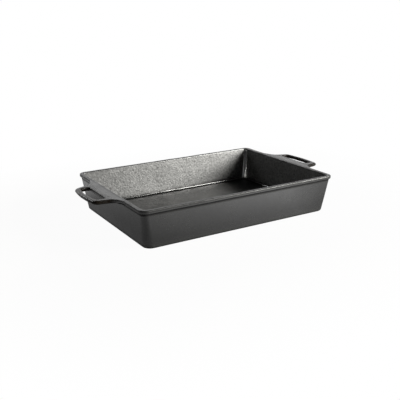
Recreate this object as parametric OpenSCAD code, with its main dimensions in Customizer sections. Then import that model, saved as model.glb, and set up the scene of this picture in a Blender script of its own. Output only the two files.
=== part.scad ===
// Cast iron casserole pan with two loop handles, in millimetres.
// The origin is the middle of the base, on the table. X runs along the pan and
// through both handles, Y runs across it, and Z is up.
//
// The real pan is one casting. Its regions are modelled here as separate solids
// that meet face to face: the floor, four walls, four corners, the rim and two
// handles. All of them are worked out from one upright profile of the end wall,
// so the regions share their sizes and their faces.

/* [Pan] */
// Length of the pan over its rim, without the handles
pan_l = 343; // [300:1:420]
// Width of the pan over its rim
pan_w = 244; // [200:1:290]
// Height from the table to the top of the rim
pan_h = 60.5; // [48:0.5:90]
// Lean of the walls, in degrees outwards as they rise
wall_lean = 6.8; // [4:0.1:10]
// Thickness of the walls, measured level
wall_t = 4.3; // [3.4:0.1:6]
// Thickness of the floor
floor_t = 3.8; // [3.2:0.1:7]

/* [Corners] */
// Corner radius of the rim, seen from above
rim_corner_r = 11.5; // [9.5:0.1:20]
// Corner radius of the base, seen from above
base_corner_r = 13; // [10.5:0.1:24]
// Rounding under the edge of the base
base_edge_r = 3.5; // [2:0.1:4.2]
// Fillet inside, where the walls meet the floor
floor_fillet_r = 2.6; // [2:0.1:5]

/* [Rim] */
// How far the lip stands out past the wall
lip_out = 2.3; // [1.9:0.1:4]
// Height of the lip
lip_h = 4.9; // [4:0.1:6]
// Rounding of the two top edges of the rim
lip_edge_r = 1.4; // [0.8:0.1:1.8]
// Rounding of the lower edge of the lip
lip_under_r = 0.7; // [0.4:0.1:0.9]
// Cove between the lip and the wall below it
cove_r = 1.1; // [0.6:0.1:1.3]

/* [Handles] */
// How far each handle reaches out past the rim
handle_reach = 39.5; // [32:0.5:55]
// Width of a handle where it leaves the rim, with its flares
handle_root_w = 138; // [115:1:170]
// Concave radius that flares a handle into the rim
handle_flare_r = 24; // [18:0.5:30]
// Angle of a handle's flanks to the X axis, in degrees
flank_angle = 15; // [8:0.5:22]
// Radius of a handle's outer corners
handle_corner_r = 11; // [8:0.5:16]
// Radius of the bow of a handle's outer edge
handle_bow_r = 200; // [150:5:300]
// Thickness of a handle
handle_t = 6.2; // [5.6:0.1:9]
// Drop of a handle's outer edge below the rim
handle_drop = 1.2; // [0:0.1:3]
// Height of the rounding of a handle's outer edges
handle_edge_h = 2.7; // [1.5:0.1:2.8]

/* [Handle slots] */
// Width of the slot for the fingers, in the middle
slot_w = 16.1; // [13.3:0.1:19]
// Width of the handle beside each end of the slot
side_w = 10.3; // [8.6:0.1:12]
// Width of the bar outside the slot
bar_w = 8.2; // [6.8:0.1:11]
// Radius of the slot's corners
slot_corner_r = 4.5; // [3:0.1:5.4]
// Height of the rounding of the slot's edges
slot_edge_h = 2.4; // [0.8:0.1:2.7]

/* [Handle roots] */
// Radius of the fillet under a handle, where it meets the end wall
gusset_r = 6; // [4:0.1:9]
// Length over which that fillet fades out at each end
gusset_fade = 18; // [10:1:24]
// Thickness at which a flare ends against the lip
flare_end_t = 0.6; // [0.4:0.1:1]
// Distance from the rim at which a handle has its full thickness
root_blend = 12; // [8:0.5:16]

/* [Hidden] */

// Steps round a corner of the pan
corner_steps = 8;
// Steps round the small radii of the profile
edge_steps = 4;
small_steps = 2;
// Steps along a handle: its flare, its outer corner, its bow and its root
flare_steps = 8;
turn_steps = 6;
bow_steps = 12;
root_steps = 16;

// The profile of the end wall
rim_x = pan_l / 2;
rim_z = pan_h - lip_h;
lean = tan(wall_lean);
base_x = rim_x - lip_out - rim_z * lean;
// Half of what the pan is longer than it is wide
long_half = (pan_l - pan_w) / 2;

// Outer and inner face of the end wall at height z
function wall_x(z) = base_x + z * lean;
function inner_x(z) = wall_x(z) - wall_t;

// Points of a round from angle a to angle b, in degrees, about [x, z]
function round_pts(x, z, r, a, b, steps) =
    [for (i = [0:steps]) let (t = a + (b - a) * i / steps) [x + r * cos(t), z + r * sin(t)]];

// Centre of a round that touches a leaning face on one side. The face is given as its
// x at height 0, and side is 1 where the centre lies outwards of the face.
function touch_x(face_x, z, r, side) =
    face_x + (z + side * r * sin(wall_lean)) * lean + side * r * cos(wall_lean);

base_round = round_pts(touch_x(base_x, base_edge_r, base_edge_r, -1), base_edge_r,
                       base_edge_r, -90, -wall_lean, edge_steps);
// The cove runs from the wall up to the lip's underside
cove_z = rim_z - cove_r;
cove = round_pts(touch_x(base_x, cove_z, cove_r, 1), cove_z, cove_r, 180 - wall_lean, 90, small_steps);
lip_under = round_pts(rim_x - lip_under_r, rim_z + lip_under_r, lip_under_r, -90, 0, small_steps);
lip_top = round_pts(rim_x - lip_edge_r, pan_h - lip_edge_r, lip_edge_r, 0, 90, edge_steps);
inner_top = round_pts(touch_x(base_x - wall_t, pan_h - lip_edge_r, lip_edge_r, 1),
                      pan_h - lip_edge_r, lip_edge_r, 90, 180 - wall_lean, edge_steps);
fillet_z = floor_t + floor_fillet_r;
floor_fillet = round_pts(touch_x(base_x - wall_t, fillet_z, floor_fillet_r, -1), fillet_z,
                         floor_fillet_r, -wall_lean, -90, edge_steps);

// Sections, each as points [x, z] in the order outside up, then inside down
floor_section = concat(base_round, [[wall_x(floor_t), floor_t]]);
wall_section = concat([[wall_x(floor_t), floor_t]], cove, [[inner_x(rim_z), rim_z]], floor_fillet);
rim_section = concat(lip_under, lip_top, inner_top, [[inner_x(rim_z), rim_z]]);

// Corner centre of the outline at height z: the corner radius changes evenly from
// the base to the lip, and stays with the lip above that
function corner_x(z) = let (h = min(z, rim_z), top_r = rim_corner_r - lip_out)
    wall_x(h) - base_corner_r - (top_r - base_corner_r) * h / rim_z;

// Point of a section, carried round the back right corner to an angle
function carried(p, angle) = let (c = corner_x(p[1]), r = p[0] - c)
    [c + r * cos(angle), c - long_half + r * sin(angle), p[1]];

// Skin over a grid of points, one row a station. A closed skin joins the last row to
// the first. An open one is capped at both ends.
module skin(rows, closed) {
    n = len(rows);
    m = len(rows[0]);
    last = closed ? n - 1 : n - 2;
    sides = [for (i = [0:last], j = [0:m - 1], half = [0, 1])
        let (a = i * m, b = ((i + 1) % n) * m, k = (j + 1) % m)
        half == 0 ? [a + j, a + k, b + k] : [a + j, b + k, b + j]];
    caps = closed ? [] : [[for (j = [m - 1:-1:0]) j], [for (j = [0:m - 1]) (n - 1) * m + j]];
    polyhedron(points = [for (row = rows, p = row) p], faces = concat(sides, caps));
}

// Quarter of a sweep round the pan with its corner centres at c: half an end, half a
// side and the corner that is turned between them
module swept_quarter(section, c) {
    end = c - long_half;
    turned = [for (p = section) [p[0] - c, p[1]]];
    translate([c, end, 0]) rotate([90, 0, 0]) linear_extrude(end) polygon(turned);
    translate([0, end, 0]) rotate([90, 0, 90]) linear_extrude(c) polygon(turned);
    translate([c, end, 0]) rotate_extrude(angle = 90, $fn = 4 * corner_steps) polygon(turned);
}

module four_quarters() {
    for (x = [0, 1], y = [0, 1]) mirror([x, 0, 0]) mirror([0, y, 0]) children();
}

// Handles, worked out beside the +X rim: u runs outwards from the rim, v along it

// Start and end of the flare, as angles about its centre
flare_from = 180 + acos(1 - flare_end_t / handle_flare_r);
flare_to = 270 - flank_angle;
flare_at = [handle_flare_r, handle_root_w / 2];
bow_at = [handle_reach - handle_bow_r, 0];
// The outer corner touches the flank and the bow
flank_start = flare_at + handle_flare_r * [cos(flare_to), sin(flare_to)];
flank_way = [cos(flank_angle), -sin(flank_angle)];
flank_in = [-sin(flank_angle), -cos(flank_angle)];
turn_from_bow = flank_start + handle_corner_r * flank_in - bow_at;
turn_reach = turn_from_bow * flank_way;
flank_run = -turn_reach + sqrt(turn_reach * turn_reach - turn_from_bow * turn_from_bow
                               + pow(handle_bow_r - handle_corner_r, 2));
turn_at = flank_start + handle_corner_r * flank_in + flank_run * flank_way;
turn_end = atan2(turn_at[1], turn_at[0] - bow_at[0]);
// Half length of the root, between the ends of the flares
root_half = flare_at[1] + handle_flare_r * sin(flare_from);

// Distance from the rim to the slot
slot_gap = handle_reach - bar_w - slot_w;
// Slot corners: one beside the rim, one beside the bar
slot_end = turn_at[1] + handle_corner_r - side_w - slot_corner_r;
slot_in_at = [slot_gap + slot_corner_r, slot_end];
slot_bow_r = handle_bow_r - bar_w;
slot_out_at = [bow_at[0] + sqrt(pow(slot_bow_r - slot_corner_r, 2) - slot_end * slot_end), slot_end];
slot_turn_end = atan2(slot_end, slot_out_at[0] - bow_at[0]);

// Widths of a handle's roundings, outside and at the slot. They leave the bar almost no
// flat top.
outer_round_share = 0.65;
slot_round_share = 0.25;
outer_round_w = bar_w * outer_round_share;
slot_round_w = bar_w * slot_round_share;

// Stations of a handle are [kind, share], where the kind is 0 for the flare at +v,
// 1 for the corner at +v, 2 for the bow, 3 and 4 for the other corner and flare, and
// 5 for the root, and the share runs from 0 to 1 along it
handle_stations = concat(
    [for (i = [0:flare_steps]) [0, i / flare_steps]],
    [for (i = [0:turn_steps]) [1, i / turn_steps]],
    [for (i = [1:bow_steps - 1]) [2, i / bow_steps]],
    [for (i = [turn_steps:-1:0]) [3, i / turn_steps]],
    [for (i = [flare_steps:-1:0]) [4, i / flare_steps]],
    [for (i = [0:root_steps]) [5, i / root_steps]]);

function between(a, b, share) = a + (b - a) * share;
function about(centre, r, angle) = centre + r * [cos(angle), sin(angle)];
function mirrored(p) = [p[0], -p[1]];

// Outer edge of a handle at a station, drawn in by inset
function outer_edge(s, inset) =
    s[0] == 0 ? about(flare_at, handle_flare_r + inset, between(flare_from, flare_to, s[1])) :
    s[0] == 1 ? about(turn_at, handle_corner_r - inset, between(90 - flank_angle, turn_end, s[1])) :
    s[0] == 2 ? about(bow_at, handle_bow_r - inset, between(turn_end, -turn_end, s[1])) :
    mirrored(outer_edge([4 - s[0], s[1]], inset));

// Edge of the slot beside a station, grown by grow
function slot_edge(s, grow) =
    s[0] == 0 ? about(slot_in_at, slot_corner_r + grow, between(180, 90, s[1])) :
    s[0] == 1 ? about(slot_out_at, slot_corner_r + grow, between(90, slot_turn_end, s[1])) :
    s[0] == 2 ? about(bow_at, slot_bow_r + grow, between(slot_turn_end, -slot_turn_end, s[1])) :
    s[0] == 5 ? [slot_gap - grow, between(-slot_end, slot_end, s[1])] :
    mirrored(slot_edge([4 - s[0], s[1]], grow));

// Share of its full thickness and rounding that a handle has at distance u
function grown(u) = min(1, max(0, u) / root_blend);
// Distance of a handle's outer edge from the rim at place v
function edge_u(v) = let (d = flare_at[1] - abs(v))
    d < handle_flare_r ? handle_flare_r - sqrt(pow(handle_flare_r, 2) - d * d) : handle_flare_r;

// Depths are measured down from the top of the rim, and the outer part hangs lower
function lowered(u, v, depth) =
    [rim_x + u, v, pan_h - depth - handle_drop * max(0, u) / handle_reach];

// How far a rounding of width w has drawn in from the edge at angle a
function drawn_in(w, a) = w * (1 - cos(a));

// Outer side of a handle at a free station, from its top edge round to its underside
under_steps = 2 * small_steps + edge_steps + 2;
function free_side(s) =
    let (u = outer_edge(s, 0)[0],
         w = between(lip_edge_r, outer_round_w, grown(u)),
         h = between(lip_edge_r, handle_edge_h, grown(u)),
         t = between(lip_h, handle_t, grown(u)))
    concat(
        [for (i = [0:edge_steps]) let (a = 90 - 90 * i / edge_steps, e = outer_edge(s, drawn_in(w, a)))
            lowered(e[0], e[1], h * (1 - sin(a)))],
        [for (i = [0:under_steps]) let (a = -90 * i / under_steps, e = outer_edge(s, drawn_in(w, a)))
            lowered(e[0], e[1], t - h * (1 + sin(a)))]);

// Root side of a handle: down the lip, under it, round the cove and out along a
// fillet. Towards the ends of the root the fillet fades into the underside.
gusset_z = pan_h - handle_t - gusset_r;
gusset = round_pts(touch_x(base_x, gusset_z, gusset_r, 1), gusset_z, gusset_r,
                   180 - wall_lean, 90, edge_steps);
function reversed(list) = [for (i = [len(list) - 1:-1:0]) list[i]];
lip_side = reversed(lip_top);
lip_under_side = reversed(lip_under);
filled_side = concat(reversed(cove), gusset);
function root_side(s) =
    let (v = between(-root_half, root_half, s[1]),
         t = between(lip_h, handle_t, grown(edge_u(v))),
         fade_from = root_half - gusset_fade,
         fade = min(1, max(0, (root_half - abs(v)) / gusset_fade - flare_end_t / gusset_fade)),
         share = fade * fade * between(3, 1, fade),
         lip_end = lip_under_side[small_steps],
         n = len(filled_side))
    concat(
        [for (p = lip_side) [p[0], v, p[1]]],
        [for (p = lip_under_side) [p[0], v, p[1]]],
        [for (i = [0:n - 1])
            let (flat = between(lip_end, [rim_x + flare_end_t / 2, pan_h - t], (i + 1) / n),
                 p = between(flat, filled_side[i], share))
            [p[0], v, p[1]]]);

// Slot side, from the underside round to the top
function slot_side(s) = concat(
    [for (i = [0:edge_steps]) let (a = -90 + 90 * i / edge_steps, e = slot_edge(s, drawn_in(slot_round_w, a)))
        lowered(e[0], e[1], handle_t - slot_edge_h * (1 + sin(a)))],
    [for (i = [0:edge_steps]) let (a = 90 * i / edge_steps, e = slot_edge(s, drawn_in(slot_round_w, a)))
        lowered(e[0], e[1], slot_edge_h * (1 - sin(a)))]);

// Right handle. The left one is its mirror image.
module handle() {
    skin([for (s = handle_stations) concat(s[0] == 5 ? root_side(s) : free_side(s), slot_side(s))], true);
}

// Wall from corner to corner, between the floor and the rim. It is drawn as the end
// wall, and turned and drawn in to its place. Its ends lean as the corner centres do,
// which lie end_in further in than corner_x says.
module wall(turn, inset, end_in) {
    ends = [for (z = [floor_t, rim_z]) [corner_x(z) - end_in, z]];
    rotate(turn) translate([-inset, 0, 0]) intersection() {
        rotate([90, 0, 0]) linear_extrude(pan_l, center = true) polygon(wall_section);
        rotate([90, 0, 90]) linear_extrude(pan_l)
            polygon([ends[0], ends[1], [-ends[1][0], rim_z], [-ends[0][0], floor_t]]);
    }
}

// Corner between two walls, drawn at the back right
module corner() {
    skin([for (i = [0:corner_steps]) [for (p = wall_section) carried(p, 90 * i / corner_steps)]], false);
}

module pan_floor() {
    c = corner_x(floor_t);
    color([0.16, 0.17, 0.17]) four_quarters() {
        swept_quarter(concat([[c, 0]], floor_section, [[c, floor_t]]), c);
        cube([c, c - long_half, floor_t]);
    }
}

module back_wall() {
    color([0.24, 0.24, 0.23]) wall(90, long_half, 0);
}

module left_wall() {
    color([0.18, 0.19, 0.2]) wall(180, 0, long_half);
}

module front_wall() {
    color([0.2, 0.2, 0.2]) wall(270, long_half, 0);
}

module right_wall() {
    color([0.18, 0.18, 0.18]) wall(0, 0, long_half);
}

module back_right_corner() {
    color([0.14, 0.14, 0.15]) corner();
}

module back_left_corner() {
    color([0.14, 0.14, 0.15]) mirror([1, 0, 0]) corner();
}

module front_left_corner() {
    color([0.14, 0.14, 0.15]) rotate(180) corner();
}

module front_right_corner() {
    color([0.14, 0.14, 0.15]) mirror([0, 1, 0]) corner();
}

module rim() {
    color([0.3, 0.3, 0.29]) four_quarters() swept_quarter(rim_section, corner_x(rim_z));
}

module right_handle() {
    color([0.22, 0.22, 0.21]) handle();
}

module left_handle() {
    color([0.22, 0.22, 0.21]) mirror([1, 0, 0]) handle();
}

pan_floor();  // floor
front_wall();
back_wall();
left_wall();
right_wall();
front_left_corner();
front_right_corner();
back_left_corner();
back_right_corner();
rim();
left_handle();
right_handle();
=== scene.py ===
"""Looks of a cast iron casserole pan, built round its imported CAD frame.

The pan is one iron casting. It is dressed here as three pieces that meet without a
seam: the pan's body (floor, walls, corners and rim) and the two loop handles. All
sizes are in metres, in the frame of the CAD model: X runs along the pan through both
handles, Y across it, Z up, and the origin is the middle of the base.
"""

import logging
import math
from dataclasses import dataclass
from enum import Enum

import bpy
import numpy as np
from mathutils import Matrix, Vector


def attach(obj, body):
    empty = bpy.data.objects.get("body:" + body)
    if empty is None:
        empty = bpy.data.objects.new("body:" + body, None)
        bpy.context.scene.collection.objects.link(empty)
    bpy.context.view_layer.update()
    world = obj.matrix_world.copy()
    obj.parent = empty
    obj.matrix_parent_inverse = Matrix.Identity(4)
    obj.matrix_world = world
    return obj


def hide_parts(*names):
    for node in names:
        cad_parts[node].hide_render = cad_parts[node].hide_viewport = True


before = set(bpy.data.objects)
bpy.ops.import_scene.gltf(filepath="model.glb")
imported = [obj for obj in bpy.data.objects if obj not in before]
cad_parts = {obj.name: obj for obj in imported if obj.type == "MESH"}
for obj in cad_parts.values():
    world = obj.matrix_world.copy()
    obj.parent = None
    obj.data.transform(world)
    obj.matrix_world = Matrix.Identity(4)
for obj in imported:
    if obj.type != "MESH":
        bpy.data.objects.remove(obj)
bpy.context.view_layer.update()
LOG = logging.getLogger("casserole_pan")
SLOT = "seasoned_iron"
# Painted masks: each region covers the inside and the regions before it
# The last region is painted shade: a dull black along the floor's crease, under the lip, at the
# foot and on the lip's face
REGIONS = ("floor", "rim", "handle", "corner", "pooled", "sooted")
MASKS = ("inside", *REGIONS, "rubbed")
# Points are joined where they agree in steps of one metre over this
PLACES_PER_METRE = 1e7
# A face that agrees less than this with its points' normals takes its own
LEAST_AGREEMENT = 0.3

Array = np.ndarray
Pair = tuple[float, float]
Triple = tuple[float, float, float]
Ramp = tuple[float, float, float, float]
Sections = tuple[Array, Array]
Socket = bpy.types.NodeSocket


# Shapes

@dataclass
class Outline:
    """Points of an upright profile, with the way that the line runs at each of them."""

    x: Array
    z: Array
    way_x: Array
    way_z: Array

    def __add__(self, other: "Outline") -> "Outline":
        """The outline followed by another one."""
        return Outline(*map(np.append, vars(self).values(), vars(other).values()))


def arc(centre: Pair, radius: float, turn: Pair, steps: int) -> Outline:
    """Round of a profile: centre + radius (cos t, sin t), and the way is its derivative.

    Args:
        centre: x and z of the centre.
        radius: radius of the round.
        turn: first and last angle, in degrees.
        steps: number of steps between them.

    Returns:
        The outline of the round, both ends included.
    """
    t = np.radians(np.linspace(*turn, steps + 1))
    sense = math.copysign(1.0, turn[1] - turn[0])
    return Outline(centre[0] + radius * np.cos(t), centre[1] + radius * np.sin(t),
                   -sense * np.sin(t), sense * np.cos(t))


def join(a: Outline, b: Outline, steps: int) -> Outline:
    """Evenly spaced points strictly between the end of one outline and the start of the next.

    Args:
        a: the outline before the line.
        b: the outline after it.
        steps: number of steps between them.

    Returns:
        The outline of the line without its ends.
    """
    share = np.linspace(0.0, 1.0, steps + 1)[1:-1]
    start = a.x[-1], a.z[-1]
    run = np.subtract((b.x[0], b.z[0]), start)
    way = run / np.hypot(*run)
    return Outline(start[0] + run[0] * share, start[1] + run[1] * share,
                   np.full(share.size, way[0]), np.full(share.size, way[1]))


def unit(rows: Array) -> Array:
    """Each row at a length of 1."""
    return rows / np.linalg.norm(rows, axis=-1, keepdims=True)


@dataclass(frozen=True)
class CastSkin:
    """Slight unevenness of a sand casting: a sum of sines over space, in every direction."""

    depth: float = 0.00005
    longest: float = 0.075
    shortest: float = 0.014
    waves: int = 14
    fall: float = 0.7
    settled: float = 0.004
    seed: int = 11

    def heights(self, points: Array) -> tuple[Array, Array]:
        """Height of the skin and its slope: sum of a sin(k.p + f), and of a k cos(k.p + f).

        Args:
            points: positions, one row each.

        Returns:
            Heights, and slopes along X, Y and Z.
        """
        rng = np.random.default_rng(self.seed)
        ways = unit(rng.normal(size=(self.waves, 3)))
        lengths = np.geomspace(self.longest, self.shortest, self.waves)
        k = ways * (2 * np.pi / lengths)[:, None]
        amounts = self.depth * (lengths / self.longest) ** self.fall
        phase = points @ k.T + rng.uniform(0, 2 * np.pi, self.waves)
        return np.sin(phase) @ amounts, (np.cos(phase) * amounts) @ k

    def lay(self, points: Array, normals: Array) -> Sections:
        """Moves points along their normals by the height, and leans the normals with its slope.

        The unevenness fades out towards the base, which stands flat.

        Args:
            points: positions, one row each.
            normals: unit normals, one row each.

        Returns:
            The moved points and the leaned unit normals.
        """
        height, slope = self.heights(points)
        raised = np.clip(points[:, 2] / self.settled, 0, 1)[:, None]
        along = np.sum(slope * normals, axis=1)[:, None] * normals
        leaned = unit(normals - raised * (slope - along))
        return points + raised * height[:, None] * normals, leaned


def grid_faces(rows: int, columns: int, wrap_rows: bool, wrap_columns: bool) -> Array:
    """Four-sided faces of a grid whose points are numbered row by row.

    Args:
        rows: number of rows.
        columns: number of points in a row.
        wrap_rows: whether the last row joins the first.
        wrap_columns: whether a row closes on itself.

    Returns:
        Point numbers, four to a face.
    """
    i = np.arange(rows if wrap_rows else rows - 1)[:, None]
    j = np.arange(columns if wrap_columns else columns - 1)[None, :]
    below, beside = (i + 1) % rows, (j + 1) % columns
    corners = (i * columns + j, i * columns + beside, below * columns + beside, below * columns + j)
    return np.stack([np.broadcast_to(c, (i.size, j.size)) for c in corners], -1).reshape(-1, 4)


def sound_faces(points: Array, faces: Array) -> tuple[Array, ...]:
    """Joins points that coincide and drops the sides of faces that shrink to nothing.

    Args:
        points: positions, one row each.
        faces: point numbers, four to a face.

    Returns:
        The number of the kept point for each point, the triangles and the kept quads.
    """
    keys = np.round(points * PLACES_PER_METRE).astype(np.int64)
    _, first, inverse = np.unique(keys, axis=0, return_index=True, return_inverse=True)
    kept = first[inverse.ravel()]
    joined = kept[faces]
    same = joined == np.roll(joined, -1, axis=1)
    pinched = same.sum(1) == 1
    order = (np.argmax(same[pinched], axis=1)[:, None] + np.arange(1, 4)) % 4
    triangles = np.take_along_axis(joined[pinched], order, axis=1)
    return kept, triangles, joined[same.sum(1) == 0]


def corner_normals(mesh: bpy.types.Mesh, sizes: Array, smooth: Array) -> Array:
    """Normal of each face corner: its point's normal, or the face's where they disagree.

    They disagree only on the hidden faces by which one piece lies against another.

    Args:
        mesh: the mesh.
        sizes: number of corners of each face.
        smooth: unit normal of the point at each corner of each face.

    Returns:
        One unit normal for each corner of each face.
    """
    own = np.empty(3 * sizes.size, np.float32)
    mesh.polygons.foreach_get("normal", own)
    own = np.repeat(own.reshape(-1, 3), sizes, axis=0)
    against = np.sum(own * smooth, axis=1) < LEAST_AGREEMENT
    smooth[against] = own[against]
    return smooth


@dataclass
class Surface:
    """Points of a closed surface with their normals, faces and painted masks."""

    points: Array
    normals: Array
    faces: Array
    masks: dict[str, Array]

    def mirrored(self) -> "Surface":
        """The same surface mirrored in X, with its faces turned so that they still point out."""
        flip = -1.0, 1.0, 1.0
        return Surface(self.points * flip, self.normals * flip, self.faces[:, ::-1], self.masks)

    def build(self, name: str, skin: CastSkin) -> bpy.types.Object:
        """Makes the mesh object, with the casting's unevenness laid on it.

        Args:
            name: name of the piece.
            skin: unevenness of the casting.

        Returns:
            The new object, at the origin.
        """
        kept, triangles, quads = sound_faces(self.points, self.faces)
        points, normals = skin.lay(self.points[kept], self.normals[kept])
        used, numbers = np.unique(np.concatenate([triangles.ravel(), quads.ravel()]),
                                  return_inverse=True)
        sizes = np.repeat([3, 4], [len(triangles), len(quads)])
        starts = np.cumsum(sizes) - sizes
        mesh = bpy.data.meshes.new(name)
        mesh.vertices.add(used.size)
        mesh.vertices.foreach_set("co", points[used].astype(np.float32).ravel())
        mesh.loops.add(numbers.size)
        mesh.loops.foreach_set("vertex_index", numbers.astype(np.int32).ravel())
        mesh.polygons.add(sizes.size)
        mesh.polygons.foreach_set("loop_start", starts.astype(np.int32))
        mesh.polygons.foreach_set("use_smooth", np.ones(sizes.size, bool))
        for mask, values in self.masks.items():
            column = mesh.attributes.new(mask, "FLOAT", "POINT").data
            column.foreach_set("value", values[used].astype(np.float32))
        mesh.update(calc_edges=True)
        mesh.validate()
        smooth = normals[used][numbers]
        mesh.normals_split_custom_set(corner_normals(mesh, sizes, smooth).tolist())
        piece = bpy.data.objects.new(name, mesh)
        bpy.context.scene.collection.objects.link(piece)
        return piece


@dataclass(frozen=True)
class Bands:
    """Where the finish changes on the body's profile.

    A pair is a band's distance from its edge of the casting, and its reach. The rim's pair
    is how far its finish comes down outside and inside. Steep is the rise that tells a wall
    from a flat, and corner_fade is how fast the corners' finish sets in as they turn. The
    crease, cove, foot and lip bands, with lip_share, place the painted shade.
    """

    rim: Pair = (0.0005, 0.0016)
    rim_fade: float = 0.0006
    rubbed: Pair = (0.0004, 0.0009)
    floor: float = 0.0012
    flat: float = 0.0004
    crease: float = 0.005
    pooled: Pair = (0.001, 0.0028)
    steep: float = 0.05
    cove: Pair = (0.0012, 0.0010)
    foot: Pair = (0.0, 0.0026)
    lip: Pair = (0.0016, 0.0018)
    lip_share: float = 0.4
    corner_fade: float = 10.0


@dataclass
class PanBody:
    """The casting without its handles: floor, walls, corners and rim as one skin."""

    length: float = 0.343
    width: float = 0.244
    height: float = 0.0605
    lean: float = math.radians(6.8)
    wall: float = 0.0043
    floor: float = 0.0038
    rim_corner: float = 0.0115
    base_corner: float = 0.013
    base_edge: float = 0.0035
    floor_fillet: float = 0.0026
    lip_out: float = 0.0023
    lip_height: float = 0.0049
    lip_edge: float = 0.0014
    lip_under: float = 0.0007
    cove: float = 0.0011
    bands: Bands = Bands()
    corner_steps: int = 12
    round_steps: int = 8
    cove_steps: int = 5
    under_steps: int = 4
    fillet_steps: int = 9
    wall_steps: int = 12
    shelf_steps: int = 2
    flat_steps: int = 3
    rings: int = 9
    side_gap: float = 0.0065
    side_margin: float = 0.025
    reach_straight: float = 0.094

    @property
    def rim_x(self) -> float:
        """Distance from the middle to the outside of the lip at an end."""
        return self.length / 2

    @property
    def rim_z(self) -> float:
        """Height of the underside of the lip."""
        return self.height - self.lip_height

    @property
    def base_x(self) -> float:
        """Where the wall's outer face would meet the table."""
        return self.rim_x - self.lip_out - self.rim_z * math.tan(self.lean)

    @property
    def narrower(self) -> float:
        """Half of what the pan is longer than it is wide."""
        return (self.length - self.width) / 2

    @property
    def corner_change(self) -> float:
        """The wall's corner radius under the lip less that at the base."""
        return self.rim_corner - self.lip_out - self.base_corner

    def touching(self, face: float, z: float, radius: float, side: int, turn: Pair,
                 steps: int) -> Outline:
        """Round on a leaning face. Its centre is at face + (z + s r sin l) tan l + s r cos l.

        Args:
            face: x of the face at height 0.
            z: height of the centre.
            radius: radius of the round.
            side: 1 where the centre lies outwards of the face, -1 where it lies inwards.
            turn: first and last angle, in degrees.
            steps: number of steps between them.

        Returns:
            The outline of the round.
        """
        x = (face + (z + side * radius * math.sin(self.lean)) * math.tan(self.lean)
             + side * radius * math.cos(self.lean))
        return arc((x, z), radius, turn, steps)

    def corner_x(self, z: Array | float) -> Array:
        """Corner centre at height z: wall face less a radius that changes evenly up to the lip."""
        h = np.minimum(z, self.rim_z)
        return (self.base_x + h * math.tan(self.lean) - self.base_corner
                - self.corner_change * h / self.rim_z)

    def corner_way(self, z: Array) -> Array:
        """How far the corner centre moves outwards for each unit of height."""
        rate = math.tan(self.lean) - self.corner_change / self.rim_z
        return np.where(z < self.rim_z, rate, 0.0)

    def profile(self) -> tuple[Outline, Array, Array]:
        """Profile of the end wall, from the middle of the base round to the middle of the floor.

        Returns:
            The outline, the share of the way to the middle for each point (1 on the walls,
            falling to 0 at the centre), and whether it is outside (0) or inside (1).
        """
        tilt, n, few = math.degrees(self.lean), self.rings, self.flat_steps
        face, top_z = self.base_x - self.wall, self.height - self.lip_edge
        base = self.touching(self.base_x, self.base_edge, self.base_edge, -1, (-90, -tilt),
                             self.round_steps)
        cove = self.touching(self.base_x, self.rim_z - self.cove, self.cove, 1, (180 - tilt, 90),
                             self.cove_steps)
        under = arc((self.rim_x - self.lip_under, self.rim_z + self.lip_under), self.lip_under,
                    (-90, 0), self.under_steps)
        lip = arc((self.rim_x - self.lip_edge, top_z), self.lip_edge, (0, 90), self.round_steps)
        inner = self.touching(face, top_z, self.lip_edge, 1, (90, 180 - tilt), self.round_steps)
        fillet = self.touching(face, self.floor + self.floor_fillet, self.floor_fillet, -1,
                               (-tilt, -90), self.fillet_steps)
        low, high = float(self.corner_x(0.0)), float(self.corner_x(self.floor))
        start = Outline(np.full(n, low), np.zeros(n), np.ones(n), np.zeros(n))
        end = Outline(np.full(n, high), np.full(n, self.floor), -np.ones(n), np.zeros(n))
        outside = (start + join(start, base, few) + base + join(base, cove, self.wall_steps) + cove
                   + join(cove, under, self.shelf_steps) + under + join(under, lip, few) + lip
                   + join(lip, inner, few))
        inside = (inner + join(inner, fillet, self.wall_steps) + fillet + join(fillet, end, few)
                  + end)
        line = outside + inside
        share = np.ones(line.x.size)
        share[:n] = np.linspace(0.0, 1.0, n)
        share[-n:] = share[:n][::-1]
        return line, share, np.repeat([0.0, 1.0], [outside.x.size, inside.x.size])

    def paint(self, line: Outline, within: Array) -> dict[str, Array]:
        """Masks that run round the pan: each is 1 in its band of the profile and fades beside it.

        Args:
            line: the profile.
            within: 1 on the points inside the pan.

        Returns:
            The masks by name, with one value for each point of the profile.
        """
        def near(z: float, reach: float) -> Array:
            """Bell of height 1 round a height."""
            return np.exp(-((line.z - z) / reach) ** 2)

        at = self.bands
        wall = np.abs(line.way_z) > at.steep
        flat = (within > 0) & (line.z < self.floor + at.flat)
        crease = flat * np.exp(-((line.x[flat].max() - line.x) / at.crease) ** 2)
        rim_reach = np.where(within > 0, at.rim[1], at.rim[0])
        return dict.fromkeys(MASKS, np.zeros(line.z.size)) | {
            "inside": within,
            "floor": within * (line.z < self.floor + at.floor),
            "rim": np.clip((line.z - self.height + rim_reach) / at.rim_fade, 0, 1),
            "rubbed": near(self.height - at.rubbed[0], at.rubbed[1]),
            "pooled": within * wall * near(self.floor + at.pooled[0], at.pooled[1]),
            # Painted shade: the floor's crease by the walls, the cove under the lip, the foot, and
            # the lip's face
            "sooted": crease + (1 - within) * np.maximum.reduce([
                near(self.rim_z - at.cove[0], at.cove[1]), near(*at.foot),
                at.lip_share * near(self.height - at.lip[0], at.lip[1])]),
        }

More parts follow.
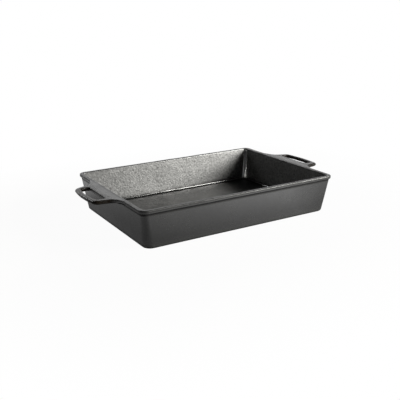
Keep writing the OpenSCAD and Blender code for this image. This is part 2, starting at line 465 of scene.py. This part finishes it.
    def stations(self, root: Array) -> tuple[Array, ...]:
        """Stations round the pan: its four turned corners, and places along its straight sides.

        Args:
            root: places along an end where a handle's root has its own points.

        Returns:
            Angle of each station, the sides of the corner that it belongs to, and its own
            place along X and along Y where it lies on a straight side (else not a number).
        """
        turn = np.linspace(0, np.pi / 2, self.corner_steps + 1)
        spare = np.arange(root.max() + self.side_gap, self.reach_straight, self.side_gap)
        end_places = np.concatenate([-spare[::-1], root, spare])
        half = self.length / 2 - self.side_margin
        side_places = np.linspace(-half, half, 2 * int(half / self.side_gap) + 1)
        parts = []
        for quarter, (x, y) in enumerate(((1, 1), (-1, 1), (-1, -1), (1, -1))):
            places = (side_places, end_places)[quarter % 2][::1 if quarter > 1 else -1]
            angle = np.append(turn + quarter * np.pi / 2,
                              np.full(places.size, (quarter + 1) * np.pi / 2))
            along = np.append(np.full(turn.size, np.nan), places)
            none = np.full(angle.size, np.nan)
            parts.append((angle, np.full(angle.size, x), np.full(angle.size, y),
                          *((along, none), (none, along))[quarter % 2]))
        return tuple(np.concatenate(column) for column in zip(*parts))

    def surface(self, root: Array) -> Surface:
        """Skin of the body: corner centre + distance (cos a, sin a), for each height and station.

        The normal is (z' cos a, z' sin a, -outward speed), where the outward speed counts
        both the profile's own and that of the corner centre.

        Args:
            root: places along an end where a handle's root has its own points.

        Returns:
            The closed surface.
        """
        line, share, within = self.profile()
        angle, sx, sy, along_x, along_y = self.stations(root)
        centre = self.corner_x(line.z)[:, None]
        distance = line.x[:, None] - centre
        middle_x = np.where(np.isnan(along_x), sx * centre, np.nan_to_num(along_x))
        middle_y = np.where(np.isnan(along_y), sy * (centre - self.narrower),
                            np.nan_to_num(along_y))
        k = share[:, None]
        ca, sa = np.cos(angle)[None, :], np.sin(angle)[None, :]
        z = np.broadcast_to(line.z[:, None], middle_x.shape)
        points = np.stack([middle_x * k + distance * ca, middle_y * k + distance * sa, z], -1)
        drift = (self.corner_way(line.z) * line.way_z)[:, None]
        outward = line.way_x[:, None] + drift * (np.abs(ca) + np.abs(sa) - 1.0)
        rise = np.broadcast_to(line.way_z[:, None], outward.shape)
        normals = unit(np.stack([rise * ca, rise * sa, -outward], -1))
        painted = self.paint(line, within)
        rising = within * (line.z > self.floor + self.bands.floor) * (1 - painted["rim"])
        turned = np.clip(self.bands.corner_fade * np.minimum(np.abs(ca), np.abs(sa)), 0, 1)
        masks = {name: np.repeat(values, angle.size) for name, values in painted.items()}
        masks["corner"] = (rising[:, None] * turned).ravel()
        faces = grid_faces(line.x.size, angle.size, False, True)
        return Surface(points.reshape(-1, 3), normals.reshape(-1, 3), faces, masks)


@dataclass
class LoopHandle:
    """Loop handle at the +X end: a flared web with a finger slot, level with the rim's top."""

    body: PanBody
    reach: float = 0.0395
    root_width: float = 0.138
    flare: float = 0.024
    flank: float = math.radians(15)
    corner: float = 0.011
    bow: float = 0.200
    thick: float = 0.0062
    drop: float = 0.0012
    edge: float = 0.0027
    outer_round: float = 0.00533
    slot_width: float = 0.0161
    side_width: float = 0.0103
    bar: float = 0.0082
    slot_corner: float = 0.0045
    slot_edge: float = 0.0024
    slot_round: float = 0.00205
    gusset: float = 0.006
    gusset_fade: float = 0.018
    end_gap: float = 0.00006
    blend: float = 0.012
    root_steps: int = 40
    root_crowding: float = 0.25
    flare_steps: int = 22
    corner_steps: int = 14
    bow_steps: int = 12
    outer_points: int = 11
    slot_points: int = 8
    lip_steps: int = 4
    under_steps: int = 2
    belly_steps: int = 4
    top_steps: int = 6
    finish_from: float = 0.005
    finish_fade: float = 0.009
    rub_rise: Pair = (0.15, 0.97)
    top_rise: float = 0.5

    def __post_init__(self) -> None:
        """Works out the centres of the flare, the bow, the outer corner and the slot's corners."""
        self.flare_at = np.array([self.flare, self.root_width / 2])
        self.flare_from = np.pi + math.acos(1 - self.end_gap / self.flare)
        self.flare_to = 1.5 * np.pi - self.flank
        self.root_half = self.flare_at[1] + self.flare * math.sin(self.flare_from)
        self.bow_at = np.array([self.reach - self.bow, 0.0])
        end = np.array([math.cos(self.flare_to), math.sin(self.flare_to)])
        way = np.array([math.cos(self.flank), -math.sin(self.flank)])
        inward = np.array([-math.sin(self.flank), -math.cos(self.flank)])
        start = self.flare_at + self.flare * end + self.corner * inward
        gap = start - self.bow_at
        along = gap @ way
        run = -along + math.sqrt(along ** 2 - gap @ gap + (self.bow - self.corner) ** 2)
        self.turn_at = start + run * way
        self.turn_end = math.atan2(self.turn_at[1], self.turn_at[0] - self.bow_at[0])
        self.slot_gap = self.reach - self.bar - self.slot_width
        self.slot_bow = self.bow - self.bar
        side = self.turn_at[1] + self.corner - self.side_width - self.slot_corner
        far = self.bow_at[0] + math.sqrt((self.slot_bow - self.slot_corner) ** 2 - side ** 2)
        self.slot_in = np.array([self.slot_gap + self.slot_corner, side])
        self.slot_out = np.array([far, side])
        self.slot_turn = math.atan2(side, far - self.bow_at[0])

    def root_places(self) -> Array:
        """Places along the rim where the root has its points, closer together at its ends."""
        t, more = np.linspace(-1, 1, self.root_steps + 1), self.root_crowding
        return self.root_half * ((1 + more) * t - more * t ** 3)

    def half_edges(self) -> tuple[Array, ...]:
        """Stations of the outer edge and the slot's edge, from the flare at +Y to mid-bow.

        Returns:
            Centre, radius and angle of the outer edge, its side (1 where the edge is hollow),
            then centre, radius and angle of the slot's edge.
        """
        quarter, steps = np.pi / 2, (self.flare_steps, self.corner_steps, self.bow_steps)
        outer = ((self.flare_from, self.flare_to), (quarter - self.flank, self.turn_end),
                 (self.turn_end, 0))
        slot = (np.pi, quarter), (quarter, self.slot_turn), (self.slot_turn, 0)
        # The bow leaves out its first station, where the corner ends
        counts = np.add(steps, (1, 1, 0))
        angle, slot_angle = (np.concatenate([np.linspace(*turn, n + 1)[-count:]
                                             for turn, n, count in zip(turns, steps, counts)])
                             for turns in (outer, slot))
        return (np.repeat([self.flare_at, self.turn_at, self.bow_at], counts, 0),
                np.repeat([self.flare, self.corner, self.bow], counts), angle,
                np.repeat([1.0, -1.0, -1.0], counts),
                np.repeat([self.slot_in, self.slot_out, self.bow_at], counts, 0),
                np.repeat([self.slot_corner, self.slot_corner, self.slot_bow], counts), slot_angle)

    def sections(self, centre: Array, radius: Array, angle: Array,
                 side: Array, size: tuple, points: int) -> Sections:
        """Side of the handle at each station: edge + inset, with a round above and below.

        At angle a the round lies w (1 - cos a) in from the edge and r (1 - sin a) from its
        top or bottom, and its normal is (r/w cos a) outwards and (sin a) upwards. The
        handle's top drops evenly from the rim to the bar.

        Args:
            centre: centre of the edge at each station, or the place itself where radius is 0.
            radius: radius of the edge at each station.
            angle: angle of each station.
            side: 1 where the angle points into the metal, -1 where it points out of it.
            size: height and width of the rounds, and thickness of the handle.
            points: number of points on each round.

        Returns:
            Points and normals, station by station, from the top edge to the underside.
        """
        r, w, t = size
        ray = np.stack([np.cos(angle), np.sin(angle)], -1)[:, None, :]
        turn = np.linspace(np.pi / 2, 0, points)
        turn = np.append(turn, -turn[::-1])[None, :]
        inset = w * (1 - np.cos(turn))
        upper = np.arange(turn.size) < points
        depth = np.where(upper, r * (1 - np.sin(turn)), t - r * (1 + np.sin(turn)))
        place = centre[:, None, :] + (radius[:, None] + side[:, None] * inset)[..., None] * ray
        flat = -side[:, None, None] * ray * (np.cos(turn) * r / w)[..., None]
        out = place[..., 0]
        z = self.body.height - depth - self.drop * np.maximum(out, 0.0) / self.reach
        rise = np.broadcast_to(np.sin(turn), out.shape)
        return (np.stack([self.body.rim_x + out, place[..., 1], z], -1),
                np.stack([flat[..., 0], flat[..., 1], rise], -1))

    def outer_sections(self) -> Sections:
        """Outer side at each station of the +Y half, whose rounds grow out of the lip's.

        Returns:
            Points and normals, station by station.
        """
        centre, radius, angle, side, *_ = self.half_edges()
        grown = np.clip((centre[:, 0] + radius * np.cos(angle)) / self.blend, 0, 1)[:, None]
        size = tuple(small + (full - small) * grown for small, full in (
            (self.body.lip_edge, self.edge), (self.body.lip_edge, self.outer_round),
            (self.body.lip_height, self.thick)))
        return self.sections(centre, radius, angle, side, size, self.outer_points)

    def slot_sections(self, *edge: Array) -> Sections:
        """Wall of the slot from the underside up, for the edge's centre, radius and angle."""
        points, normals = self.sections(*edge, np.ones(edge[1].size), (
            self.slot_edge, self.slot_round, self.thick), self.slot_points)
        return points[:, ::-1], normals[:, ::-1]

    def root_sections(self, count: int) -> Sections:
        """Root side: down the lip, under it and out along the gusset's round.

        Towards the ends the gusset fades into the underside: each point is carried from its
        place on the gusset to one on the flat by a share that eases from 1 to 0.

        Args:
            count: number of points in a section.

        Returns:
            Points and normals, station by station, from the top of the lip to the underside.
        """
        pan = self.body
        tilt = math.degrees(pan.lean)
        lip = arc((pan.rim_x - pan.lip_edge, pan.height - pan.lip_edge), pan.lip_edge, (90, 0),
                  self.lip_steps)
        under = arc((pan.rim_x - pan.lip_under, pan.rim_z + pan.lip_under), pan.lip_under, (0, -90),
                    self.under_steps)
        head, rest = lip + under, count - lip.x.size - under.x.size
        cove = pan.touching(pan.base_x, pan.rim_z - pan.cove, pan.cove, 1, (90, 180 - tilt),
                            self.under_steps)
        gusset = cove + pan.touching(pan.base_x, pan.height - self.thick - self.gusset, self.gusset,
                                     1, (180 - tilt, 90), rest - cove.x.size - 1)
        v = self.root_places()[:, None]
        d = self.flare_at[1] - np.abs(v)
        u = np.where(d < self.flare,
                     self.flare - np.sqrt(np.maximum(self.flare ** 2 - d ** 2, 0)), self.flare)
        t = pan.lip_height + (self.thick - pan.lip_height) * np.clip(u / self.blend, 0, 1)
        fade = np.clip((self.root_half - np.abs(v)) / self.gusset_fade, 0, 1)
        share = fade * fade * (3 - 2 * fade)
        step = (np.arange(rest) + 1)[None, :] / rest
        flat_x = under.x[-1] + (pan.rim_x - under.x[-1]) * step
        flat_z = under.z[-1] + (pan.height - t - under.z[-1]) * step
        points, normals = np.zeros((2, v.size, count, 3))
        points[:, :-rest, 0], points[:, :-rest, 2] = head.x, head.z
        points[:, -rest:, 0] = flat_x + (gusset.x - flat_x) * share
        points[:, -rest:, 2] = flat_z + (gusset.z - flat_z) * share
        points[..., 1], normals[:, :-rest, 2] = v, 1.0
        normals[:, -rest:, 0], normals[:, -rest:, 2] = gusset.way_z, -gusset.way_x
        return points, normals

    def surface(self) -> Surface:
        """Closed ring of sections: outer or root side, underside, slot side and top.

        Returns:
            The closed surface.
        """
        halves = *self.outer_sections(), *self.slot_sections(*self.half_edges()[4:])
        outer, outer_n, inner, inner_n = (
            np.concatenate([half, half[-2::-1] * (1.0, -1.0, 1.0)]) for half in halves)
        root, root_n = self.root_sections(outer.shape[1])
        n = root.shape[0]
        beside = np.stack([np.full(n, self.slot_gap), self.slot_in[1] * np.linspace(-1, 1, n)], -1)
        slot, slot_n = self.slot_sections(beside, np.zeros(n), np.full(n, np.pi))
        sides = np.concatenate([outer, root]), np.concatenate([outer_n, root_n])
        slots = np.concatenate([inner, slot]), np.concatenate([inner_n, slot_n])
        parts = []
        for first, last, steps, up in ((sides, slots, self.belly_steps, -1.0),
                                       (slots, sides, self.top_steps, 1.0)):
            share = np.linspace(0, 1, steps + 1)[1:-1][None, :, None]
            a, b = first[0][:, -1:], last[0][:, :1]
            span = a + (b - a) * share
            parts += [first, (span, np.broadcast_to([0.0, 0.0, up], span.shape))]
        points, normals = (np.concatenate(part, 1) for part in zip(*parts))
        normals = unit(normals)
        rise, out = normals[..., 2].ravel(), points[..., 0].ravel() - self.body.rim_x
        on_handle = np.clip((out - self.finish_from) / self.finish_fade, 0, 1)
        rubbed = (np.abs(rise) > self.rub_rise[0]) * (np.abs(rise) < self.rub_rise[1])
        masks = dict.fromkeys(MASKS, np.zeros(rise.size)) | {
            "rim": (rise > self.top_rise).astype(float), "handle": on_handle,
            "rubbed": rubbed * on_handle}
        faces = grid_faces(*points.shape[:2], True, True)
        return Surface(points.reshape(-1, 3), normals.reshape(-1, 3), faces[:, ::-1], masks)


# Finishes

class NodeKind(Enum):
    """Shader nodes that the finishes use, by their Blender names."""

    NOISE = "ShaderNodeTexNoise"
    VORONOI = "ShaderNodeTexVoronoi"
    MATH = "ShaderNodeMath"
    MIX = "ShaderNodeMix"
    RAMP = "ShaderNodeMapRange"
    COORDS = "ShaderNodeTexCoord"
    ATTRIBUTE = "ShaderNodeAttribute"
    BUMP = "ShaderNodeBump"
    PRINCIPLED = "ShaderNodeBsdfPrincipled"
    OUTPUT = "ShaderNodeOutputMaterial"
    GROUP = "ShaderNodeGroup"
    GROUP_IN = "NodeGroupInput"
    GROUP_OUT = "NodeGroupOutput"
    LIGHT_PATH = "ShaderNodeLightPath"
    EMISSION = "ShaderNodeEmission"
    DIFFUSE = "ShaderNodeBsdfDiffuse"
    MIX_SHADER = "ShaderNodeMixShader"
    VECTOR_MATH = "ShaderNodeVectorMath"
    BACKGROUND = "ShaderNodeBackground"
    WORLD_OUT = "ShaderNodeOutputWorld"


@dataclass
class Tree:
    """A node tree with short ways to add nodes and to wire them."""

    tree: bpy.types.NodeTree
    noise_roughness: float = 0.55

    def add(self, kind: NodeKind, values: dict | None = None, **settings) -> bpy.types.Node:
        """Adds a node.

        Args:
            kind: kind of node.
            values: constant or linked values of its sockets, by name or number.
            settings: properties of the node.

        Returns:
            The node.
        """
        node = self.tree.nodes.new(kind.value)
        for name, value in settings.items():
            setattr(node, name, value)
        for socket, value in (values or {}).items():
            if isinstance(value, bpy.types.NodeSocket):
                self.tree.links.new(value, node.inputs[socket])
            else:
                node.inputs[socket].default_value = value
        return node

    def calc(self, operation: str, *values: Socket | float) -> Socket:
        """Result of a math node on up to three values or sockets."""
        return self.add(NodeKind.MATH, dict(enumerate(values)), operation=operation).outputs[0]

    def vector(self, operation: str, *values: Socket | Triple, out: str = "Vector") -> Socket:
        """Result of a vector math node on one or two vectors or sockets."""
        return self.add(NodeKind.VECTOR_MATH, dict(enumerate(values)),
                        operation=operation).outputs[out]

    def noise(self, vector: Socket, size: float, detail: float = 3.0) -> Socket:
        """Noise whose features are about size metres across, from 0 to 1."""
        return self.add(NodeKind.NOISE, {"Vector": vector, "Scale": 1.0 / size, "Detail": detail,
                                         "Roughness": self.noise_roughness}).outputs["Fac"]

    def stretch(self, value: Socket, low: float, high: float, to_low: float,
                to_high: Socket | float) -> Socket:
        """Value carried from one range to another, and held within it."""
        return self.add(NodeKind.RAMP, {0: value, 1: low, 2: high, 3: to_low, 4: to_high},
                        clamp=True).outputs[0]

    def sway(self, value: Socket, amount: Socket | float, base: Socket | float) -> Socket:
        """Base plus an amount times what the value is over one half."""
        return self.calc("MULTIPLY_ADD", self.calc("SUBTRACT", value, 0.5), amount, base)

    def mix(self, kind: str, factor: Socket, a: Socket | Ramp, b: Socket | Ramp | float) -> Socket:
        """Number or colour, as kind says, between a and b by a factor from 0 to 1."""
        return self.add(NodeKind.MIX, {"Factor": factor, "A": a, "B": b},
                        data_type=kind).outputs["Result"]


def emptied(owner: bpy.types.Material | bpy.types.World) -> Tree:
    """Node tree of a new material or world, without its default nodes.

    Args:
        owner: the material or world.

    Returns:
        The empty tree.
    """
    owner.use_nodes = True
    owner.node_tree.nodes.clear()
    return Tree(owner.node_tree)


@dataclass(frozen=True)
class SandCastGrain:
    """Node group for the pebbled skin that moulding sand leaves on iron, as a height in metres."""

    fine: float = 0.0011
    fine_share: float = 0.5
    coarse: float = 0.0030
    coarse_detail: float = 4.0
    smoothness: float = 0.8
    pebble_share: float = -0.5
    pebble_shade: float = -0.35
    speck: Ramp = (0.05, 0.6, 0.0, 1.0)
    name: str = "sand_cast_grain"

    def group(self) -> bpy.types.NodeTree:
        """Makes the group: rounded pebbles in a relief of noise at two sizes.

        Returns:
            The node group, with a Vector and a Depth input and a Height and a Speck output.
        """
        tree = bpy.data.node_groups.new(self.name, "ShaderNodeTree")
        for name, way, kind in (("Vector", "INPUT", "Vector"), ("Depth", "INPUT", "Float"),
                                ("Height", "OUTPUT", "Float"), ("Speck", "OUTPUT", "Float")):
            tree.interface.new_socket(name, in_out=way, socket_type="NodeSocket" + kind)
        t = Tree(tree)
        put = t.add(NodeKind.GROUP_IN)
        where = put.outputs["Vector"]
        pebbles = t.add(NodeKind.VORONOI, {
            "Vector": where, "Scale": 1.0 / self.coarse, "Smoothness": self.smoothness,
            "Randomness": 1.0}, feature="SMOOTH_F1").outputs["Distance"]
        fine = t.noise(where, self.fine)
        patch = t.noise(where, self.coarse, self.coarse_detail)
        relief = t.calc("MULTIPLY_ADD", fine, self.fine_share,
                        t.calc("MULTIPLY_ADD", pebbles, self.pebble_share, patch))
        height = t.calc("MULTIPLY", relief, put.outputs["Depth"])
        shaded = t.calc("MULTIPLY_ADD", pebbles, self.pebble_shade, patch)
        t.add(NodeKind.GROUP_OUT, {"Height": height, "Speck": t.stretch(shaded, *self.speck)})
        return tree


@dataclass(frozen=True)
class Region:
    """Finish of one region of the casting: grain's depth, roughness, shine, mottling and metal.

    The shine is the share of light that is mirrored square on. The metal is 1 where the iron
    shines through, and 0 where baked oil covers it and where shade is painted as a dull black.
    """

    depth: float
    rough: float
    shine: float
    mottle: float
    metal: float = 1.0


@dataclass(frozen=True)
class SeasonedIron:
    """Black seasoned cast iron: baked oil over a sand-cast skin, rubbed brighter on its edges.

    A ramp is a range of the noise, and the range that it is carried to.
    """

    black: Triple = (0.010, 0.0102, 0.0106)
    grey: Triple = (0.025, 0.025, 0.0255)
    brown: Triple = (0.026, 0.018, 0.011)
    rubbed: Triple = (0.07, 0.069, 0.066)
    outside: Region = Region(0.00004, 0.25, 0.215, 0.10, 0.90)
    inside: Region = Region(0.00024, 0.53, 0.290, 0.75)
    floor: Region = Region(0.00006, 0.34, 0.135, 0.30)
    rim: Region = Region(0.00006, 0.37, 0.200, 0.30)
    handle: Region = Region(0.00045, 0.11, 0.016, 3.60, 0.0)
    pooled: Region = Region(0.00002, 0.20, 0.222, 0.20)
    corner: Region = Region(0.00001, 0.10, 0.660, 0.20)
    # Painted shade: dull black where shade falls in the crease, under the lip and at the foot, and
    # to dim the lip's face
    sooted: Region = Region(0.00004, 0.60, 0.011, 0.10, 0.0)
    cloud_size: float = 0.028
    grey_ramp: Ramp = (0.3, 0.7, 0.25, 0.9)
    brown_ramp: Ramp = (0.35, 0.65, 0.2, 0.8)
    wear_size: float = 0.005
    wear_ramp: Ramp = (0.42, 0.62, 0.0, 0.7)
    cloud_rough: float = 0.14
    speck_rough: float = -0.05
    worn_shine: float = 0.08
    oil_ior: float = 2.0
    oil_level: float = 0.07

    def blend(self, t: Tree, masks: dict[str, Socket], what: str) -> Socket:
        """One number of the finish, carried from region to region by the painted masks.

        Args:
            t: the tree to build in.
            masks: the painted masks by name.
            what: name of the number in Region.

        Returns:
            The blended number.
        """
        value = t.stretch(masks["inside"], 0, 1, getattr(self.outside, what),
                          getattr(self.inside, what))
        for region in REGIONS:
            value = t.mix("FLOAT", masks[region], value, getattr(getattr(self, region), what))
        return value

    def material(self, grain: bpy.types.NodeTree) -> bpy.types.Material:
        """Makes the material.

        The painted masks carry the grain's depth, the roughness, the shine, the mottling and
        the metal from region to region, brown the handles and brighten the rubbed edges.
        Along the floor's crease, under the lip, at the foot and on the lip's face they lay
        painted shade as a dull black.
        Where the metal is 1 the base colour is the shine, and where it is 0 that of the oil.

        Args:
            grain: node group of the sand-cast skin.

        Returns:
            The material.
        """
        material = bpy.data.materials.new(SLOT)
        t = emptied(material)
        where = t.add(NodeKind.COORDS).outputs["Object"]
        masks = {m: t.add(NodeKind.ATTRIBUTE, attribute_name=m).outputs["Fac"] for m in MASKS}
        skin = t.add(NodeKind.GROUP, {"Vector": where, "Depth": self.blend(t, masks, "depth")},
                     node_tree=grain)
        speck = skin.outputs["Speck"]
        cloud = t.noise(where, self.cloud_size)
        patch = t.noise(where, self.wear_size)
        greyed = t.calc("MULTIPLY", speck, t.stretch(cloud, *self.grey_ramp))
        browned = t.calc("MULTIPLY", masks["handle"], t.stretch(cloud, *self.brown_ramp))
        wear = t.calc("MULTIPLY", masks["rubbed"], t.stretch(patch, *self.wear_ramp))
        oiled = (*self.black, 1)
        for factor, colour in ((greyed, self.grey), (browned, self.brown), (wear, self.rubbed)):
            oiled = t.mix("RGBA", factor, oiled, (*colour, 1))
        rough = t.sway(speck, self.speck_rough,
                       t.sway(cloud, self.cloud_rough, self.blend(t, masks, "rough")))
        spotted = t.sway(speck, self.blend(t, masks, "mottle"), 1.0)
        shine = t.calc("MULTIPLY_ADD", self.blend(t, masks, "shine"),
                       t.calc("MAXIMUM", spotted, 0.0), t.calc("MULTIPLY", wear, self.worn_shine))
        metal = self.blend(t, masks, "metal")
        bump = t.add(NodeKind.BUMP, {"Strength": 1.0, "Distance": 1.0,
                                     "Height": skin.outputs["Height"]})
        surface = t.add(NodeKind.PRINCIPLED, {
            "Base Color": t.mix("RGBA", metal, oiled, shine), "Metallic": metal,
            "Roughness": rough, "IOR": self.oil_ior, "Specular IOR Level": self.oil_level,
            "Normal": bump.outputs[0]})
        t.add(NodeKind.OUTPUT, {"Surface": surface.outputs[0]})
        return material


# Studio

@dataclass(frozen=True)
class WhiteCard:
    """Matt white of the table and backdrop, which show white to the camera and in reflections."""

    name: str
    colour: Triple = (0.80, 0.80, 0.80)
    near_share: float = 1.0
    mirrored: Pair = (1.0, 1.0)
    footprint: Pair = (0.17, 0.12)
    contact: Pair = (0.015, 0.105)
    way: Pair = (-0.90, -0.44)
    lit_from: Triple = (-0.13, -0.05, 0.35)
    lit_to: Triple = (-0.05, 0.25, 0.22)
    shadow: Pair = (0.1, 1 / 3)
    clear: Pair = (0.3, 1.0)

    def material(self) -> bpy.types.Material:
        """Makes the material: matt white, with plain white mixed in for those rays.

        For the camera the share of plain white is near_share by the pan's footprint, so that
        the shadow stays, and climbs to 1 over the distances in shadow. For mirrored rays it
        is 1, and its strength is a painted shadow of the pan: it climbs over the distances in
        contact as mirrored says. That holds in a strip of painted light across the way, which
        dims towards its ends: between the first two places of lit_from, and of lit_to, it goes
        from and to their third value. Over the distances in clear it climbs to 1 all round. A
        distance is |max(|p| - footprint, 0)|, and a place p.way.

        Returns:
            The material.
        """
        material = bpy.data.materials.new(self.name)
        t = emptied(material)
        path = t.add(NodeKind.LIGHT_PATH).outputs
        where = t.add(NodeKind.COORDS).outputs["Object"]
        along = t.vector("DOT_PRODUCT", where, (*self.way, 0), out="Value")
        # Painted fall-off of light across the table, seen only in reflections
        strip = t.calc("MINIMUM", t.stretch(along, *self.lit_from, 1.0),
                       t.stretch(along, *self.lit_to[:2], 1.0, self.lit_to[2]))
        span = t.vector("SUBTRACT", t.vector("ABSOLUTE", where), (*self.footprint, 0))
        level = t.vector("MULTIPLY", t.vector("MAXIMUM", span, (0, 0, 0)), (1, 1, 0))
        away = t.vector("LENGTH", level, out="Value")
        seen = t.calc("MULTIPLY", path["Is Camera Ray"],
                      t.stretch(away, *self.shadow, self.near_share, 1.0))
        # Painted shadow of the pan on the table, seen only in reflections
        beside = t.calc("MULTIPLY", strip, t.stretch(away, *self.contact, *self.mirrored))
        beyond = t.stretch(away, *self.clear, 0.0, 1.0)
        glossy = t.calc("MAXIMUM", path["Is Glossy Ray"], path["Is Transmission Ray"])
        strength = t.stretch(glossy, 0, 1, 1.0, t.calc("MAXIMUM", beside, beyond))
        white = t.add(NodeKind.EMISSION, {"Color": (1, 1, 1, 1), "Strength": strength})
        matt = t.add(NodeKind.DIFFUSE, {"Color": (*self.colour, 1)})
        mixed = t.add(NodeKind.MIX_SHADER, {0: t.calc("MAXIMUM", seen, glossy),
                                            1: matt.outputs[0], 2: white.outputs[0]})
        t.add(NodeKind.OUTPUT, {"Surface": mixed.outputs[0]})
        return material


def card(name: str, points: Array, finish: WhiteCard) -> None:
    """Makes a sheet of the studio from a grid of points.

    Args:
        name: name of the object.
        points: grid of positions, rows by columns by 3.
        finish: finish of the sheet.
    """
    faces = grid_faces(*points.shape[:2], False, False)
    mesh = bpy.data.meshes.new(name)
    mesh.from_pydata(points.reshape(-1, 3).tolist(), [], faces.tolist())
    mesh.materials.append(finish.material())
    sheet = bpy.data.objects.new(name, mesh)
    bpy.context.scene.collection.objects.link(sheet)


@dataclass(frozen=True)
class Softbox:
    """Area lamp that faces the pan, placed by its bearing from +Y towards +X and its rise."""

    name: str
    bearing: float
    rise: float
    away: float
    wide: float
    tall: float
    power: float
    colour: Triple = (1.0, 1.0, 1.0)
    aim: Triple = (0, 0, 0.03)

    def build(self) -> None:
        """Makes the lamp and turns it to the pan."""
        light = bpy.data.lights.new(self.name, "AREA")
        light.shape = "RECTANGLE"
        light.size, light.size_y = self.wide, self.tall
        light.energy, light.color = self.power, self.colour
        lamp = bpy.data.objects.new(self.name, light)
        turn, rise = math.radians(self.bearing), math.radians(self.rise)
        at = self.away * Vector((math.sin(turn) * math.cos(rise),
                                 math.cos(turn) * math.cos(rise), math.sin(rise)))
        lamp.location = at
        lamp.rotation_euler = (Vector(self.aim) - at).to_track_quat("-Z", "Y").to_euler()
        bpy.context.scene.collection.objects.link(lamp)


@dataclass(frozen=True)
class Studio:
    """White table and backdrop, soft lamps, and the camera at the photograph's viewing angle."""

    camera_at: Triple = (-0.5086, -0.8433, 0.3291)
    yaw: float = math.radians(30.72)
    pitch: float = math.radians(17.65)
    roll: float = math.radians(-0.65)
    focal_px: float = 622.1
    image_px: float = 400.0
    sensor: float = 36.0
    clip: Pair = (0.01, 20.0)
    ambient: float = 0.03
    table_half: float = 3.2
    # The table's reflections carry a painted shadow of the pan; mirrored sets how dark it is by the
    # footprint
    table: WhiteCard = WhiteCard("table_white", near_share=0.96, mirrored=(0.38, 1.0))
    backdrop: WhiteCard = WhiteCard("backdrop_white")
    backdrop_away: float = 2.6
    backdrop_tall: float = 1.5
    backdrop_turn: Pair = (math.radians(-22), math.radians(58))
    card_rows: int = 3
    backdrop_columns: int = 25
    lamps: tuple[Softbox, ...] = (
        Softbox("key_softbox", bearing=133, rise=21.5, away=1.4, wide=0.66, tall=0.52,
                power=24.0, colour=(1.0, 0.99, 0.94)),
        Softbox("back_softbox", bearing=344, rise=34, away=1.5, wide=0.30, tall=0.30, power=1.6),
    )

    def world(self) -> None:
        """Dim studio around the set, which shows white to the camera."""
        world = bpy.data.worlds.new("studio_white")
        t = emptied(world)
        camera_ray = t.add(NodeKind.LIGHT_PATH).outputs["Is Camera Ray"]
        strength = t.stretch(camera_ray, 0, 1, self.ambient, 1.0)
        sky = t.add(NodeKind.BACKGROUND, {"Color": (1, 1, 1, 1), "Strength": strength})
        t.add(NodeKind.WORLD_OUT, {0: sky.outputs[0]})
        bpy.context.scene.world = world

    def camera(self) -> None:
        """Makes the camera from its yaw, pitch and roll, with the lens from its focal length."""
        data = bpy.data.cameras.new("photo_view")
        data.sensor_width = self.sensor
        data.lens = self.focal_px * self.sensor / self.image_px
        data.clip_start, data.clip_end = self.clip
        camera = bpy.data.objects.new("photo_view", data)
        place = Matrix.Translation(self.camera_at)
        for angle, axis in ((-self.yaw, "Z"), (math.pi / 2 - self.pitch, "X"), (self.roll, "Z")):
            place = place @ Matrix.Rotation(angle, 4, axis)
        camera.matrix_world = place
        bpy.context.scene.collection.objects.link(camera)
        bpy.context.scene.camera = camera

    def cards(self) -> None:
        """Lays the table, a square at height 0, and stands the backdrop, an arc about Z."""
        side = np.linspace(-self.table_half, self.table_half, self.card_rows)
        x, y = np.meshgrid(side, side)
        card("pale_table", np.stack([x, y, np.zeros_like(x)], -1), self.table)
        bearing, height = np.meshgrid(np.linspace(*self.backdrop_turn, self.backdrop_columns),
                                      np.linspace(0.0, self.backdrop_tall, self.card_rows))
        card("white_backdrop", np.stack([self.backdrop_away * np.sin(bearing),
                                         self.backdrop_away * np.cos(bearing), height], -1),
             self.backdrop)

    def build(self) -> None:
        """Sets up the camera, the world, the lamps, the cards and the plain view transform."""
        self.camera()
        self.world()
        self.cards()
        for lamp in self.lamps:
            lamp.build()
            LOG.info("%s: %.1f W at %.2f m", lamp.name, lamp.power, lamp.away)
        bpy.context.scene.view_settings.view_transform = "Standard"


def main() -> None:
    """Builds the studio, the pan's body and both handles in order."""
    logging.basicConfig(level=logging.INFO, format="%(name)s: %(message)s")
    Studio().build()
    body, skin = PanBody(), CastSkin()
    handle = LoopHandle(body)
    iron = SeasonedIron().material(SandCastGrain().group())
    right = handle.surface()
    jobs = (
        ("pan_body", body.surface(handle.root_places()),
         ("floor", "front_wall", "back_wall", "left_wall", "right_wall", "front_left_corner",
          "front_right_corner", "back_left_corner", "back_right_corner", "rim")),
        ("right_loop_handle", right, ("right_handle",)),
        ("left_loop_handle", right.mirrored(), ("left_handle",)),
    )
    for name, surface, nodes in jobs:
        piece = surface.build(name, skin)
        piece.data.materials.append(iron)
        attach(piece, "root")
        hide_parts(*nodes)
        mesh = piece.data
        LOG.info("%s: %d points, %d faces", name, len(mesh.vertices), len(mesh.polygons))


if __name__ == "__main__":
    main()
